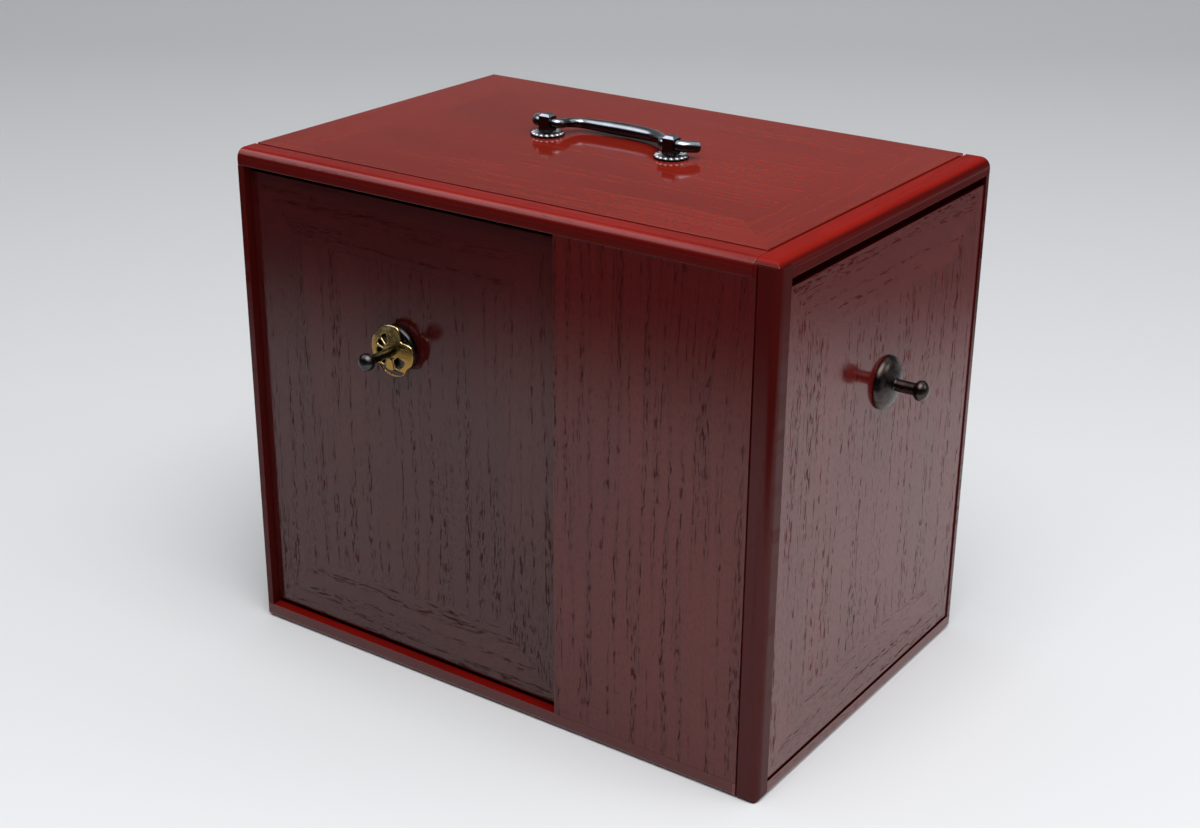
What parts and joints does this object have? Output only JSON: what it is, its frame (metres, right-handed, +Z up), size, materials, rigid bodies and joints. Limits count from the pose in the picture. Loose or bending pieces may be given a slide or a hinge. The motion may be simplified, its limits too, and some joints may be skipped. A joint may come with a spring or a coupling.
{
  "type": "tea utensil box",
  "caption": "Lacquered wooden box for tea utensils with a lift-out front door, a lift-out side door, pull knobs and a metal carrying handle on top.",
  "frame": {"origin": "centre of the underside, on the surface that the box stands on", "axes": "+X to the right along the front, +Y to the back, +Z up"},
  "size_m": [0.3528, 0.2456, 0.292],
  "materials": {
    "lacquered_wood": "dark red wiped lacquer over open grain, glossy",
    "inner_wood": "thin red lacquer over wood, satin",
    "dark_metal": "blackened metal, polished by handling",
    "brass": "gilt brass, polished, dark in its recesses"
  },
  "bodies": {
    "case": {"top_board": "lacquered_wood", "top_front_strip": "lacquered_wood", "top_right_strip": "lacquered_wood", "bottom_board": "lacquered_wood", "bottom_front_strip": "lacquered_wood", "bottom_right_strip": "lacquered_wood", "left_side_board": "lacquered_wood", "back_board": "lacquered_wood", "corner_post": "lacquered_wood", "fixed_front_panel": "lacquered_wood", "partition_board": "inner_wood", "front_door_stop": "inner_wood", "side_door_stop": "inner_wood", "left_shelf_cleat_left": "inner_wood", "left_shelf_cleat_right": "inner_wood", "left_shelf": "inner_wood", "right_shelf_cleat_front": "inner_wood", "right_shelf_cleat_back": "inner_wood", "right_shelf": "inner_wood", "handle_washer_left": "dark_metal", "handle_post_left": "dark_metal", "handle_nut_left": "dark_metal", "handle_washer_right": "dark_metal", "handle_post_right": "dark_metal", "handle_nut_right": "dark_metal"},
    "handle": {"handle_bail": "dark_metal"},
    "front_door": {"front_door_panel": "lacquered_wood", "front_pull_base": "dark_metal", "front_pull_rosette": "brass", "front_pull_pin": "dark_metal", "front_pull_nut": "dark_metal"},
    "side_door": {"side_door_panel": "lacquered_wood", "side_pull_plate": "dark_metal", "side_pull_pin": "dark_metal", "side_pull_nut": "dark_metal"}
  },
  "joints": [
    {"name": "handle_swing", "type": "hinge", "parent": "case", "child": "handle", "pos_m": [-0.01, 0.0104, 0.2871], "axis": [1, 0, 0], "range_deg": [0, 190]},
    {"name": "front_door_lift", "type": "slide", "parent": "case", "child": "front_door", "axis": [0, 0, 1], "range_m": [0, 0.0028]},
    {"name": "side_door_lift", "type": "slide", "parent": "case", "child": "side_door", "axis": [0, 0, 1], "range_m": [0, 0.0039]}
  ]
}
